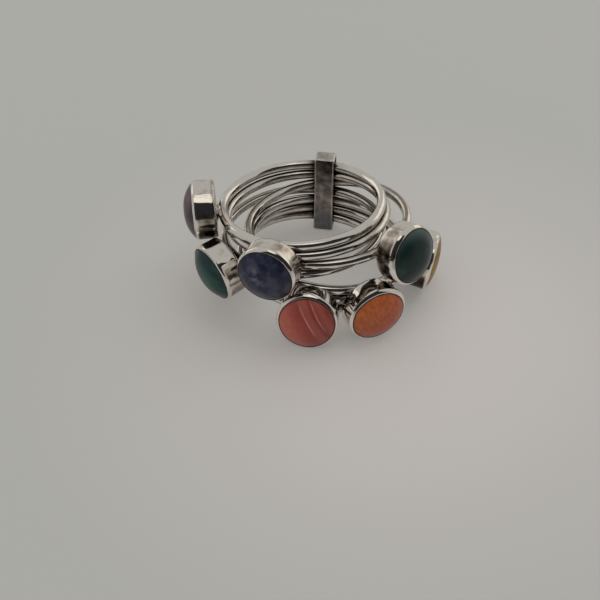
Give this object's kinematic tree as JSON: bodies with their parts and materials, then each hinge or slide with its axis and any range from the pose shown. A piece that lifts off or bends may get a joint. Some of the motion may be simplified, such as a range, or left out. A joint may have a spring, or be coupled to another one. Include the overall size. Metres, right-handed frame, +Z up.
{
  "type": "stackable ring",
  "caption": "Stacking ring: round-wire silver bands, each with one domed stone in a bezel cup, threaded through one upright bar at the back.",
  "frame": {"origin": "centre of the bounding box at its base, on the surface that the ring lies on", "axes": "+Z up from that surface, roughly along the finger; +Y towards the bar at the back of the finger; +X to the right as the stones are seen from the front"},
  "size_m": [0.0312, 0.0258, 0.0135],
  "materials": {
    "silver": "bright polished sterling silver, a little darkened in the corners",
    "stone_plum": "dark plum, opaque, polished dome",
    "stone_navy": "navy with pale clouds, opaque, polished dome",
    "stone_bottle": "dark bottle green, opaque, polished dome",
    "stone_moss": "dark moss green, opaque, polished dome",
    "stone_honey": "honey yellow, polished dome",
    "stone_orange": "mottled orange, opaque, polished dome",
    "stone_coral": "coral red with pale slanting bands, opaque, polished dome"
  },
  "bodies": {
    "bar": {"bar": "silver"},
    "band_plum": {"band_plum": "silver", "stone_plum": "stone_plum"},
    "band_navy": {"band_navy": "silver", "stone_navy": "stone_navy"},
    "band_bottle": {"band_bottle": "silver", "stone_bottle": "stone_bottle"},
    "band_moss": {"band_moss": "silver", "stone_moss": "stone_moss"},
    "band_honey": {"band_honey": "silver", "stone_honey": "stone_honey"},
    "band_orange": {"band_orange": "silver", "stone_orange": "stone_orange"},
    "band_coral": {"band_coral": "silver", "stone_coral": "stone_coral"}
  },
  "joints": [
    {"name": "plum_turn", "type": "hinge", "parent": "bar", "child": "band_plum", "pos_m": [-0.00153, 0.00232, 0.01016], "axis": [-0.062, 0.1476, 0.9871], "range_deg": [-75, 0]},
    {"name": "navy_turn", "type": "hinge", "parent": "bar", "child": "band_navy", "pos_m": [-0.00101, 0.00196, 0.009], "axis": [-0.0603, 0.1498, 0.9869], "range_deg": [-3, 1]},
    {"name": "bottle_turn", "type": "hinge", "parent": "bar", "child": "band_bottle", "pos_m": [0.00154, 0.00168, 0.00796], "axis": [-0.0897, 0.1457, 0.9853], "range_deg": [-1, 2.5]},
    {"name": "moss_turn", "type": "hinge", "parent": "bar", "child": "band_moss", "pos_m": [-0.00145, 0.0021, 0.00633], "axis": [-0.0684, 0.1306, 0.9891], "range_deg": [-0.5, 3]},
    {"name": "honey_turn", "type": "hinge", "parent": "bar", "child": "band_honey", "pos_m": [0.0016, 0.00139, 0.00488], "axis": [0.0935, 0.0892, 0.9916], "range_deg": [-2.5, 75]},
    {"name": "orange_turn", "type": "hinge", "parent": "bar", "child": "band_orange", "pos_m": [0.00118, 0.00128, 0.00365], "axis": [0.0975, 0.0937, 0.9908], "range_deg": [-0.5, 0.5]},
    {"name": "coral_turn", "type": "hinge", "parent": "bar", "child": "band_coral", "pos_m": [0.00041, 0.00111, 0.00238], "axis": [0.0951, 0.0781, 0.9924], "range_deg": [-0.5, 1]}
  ]
}
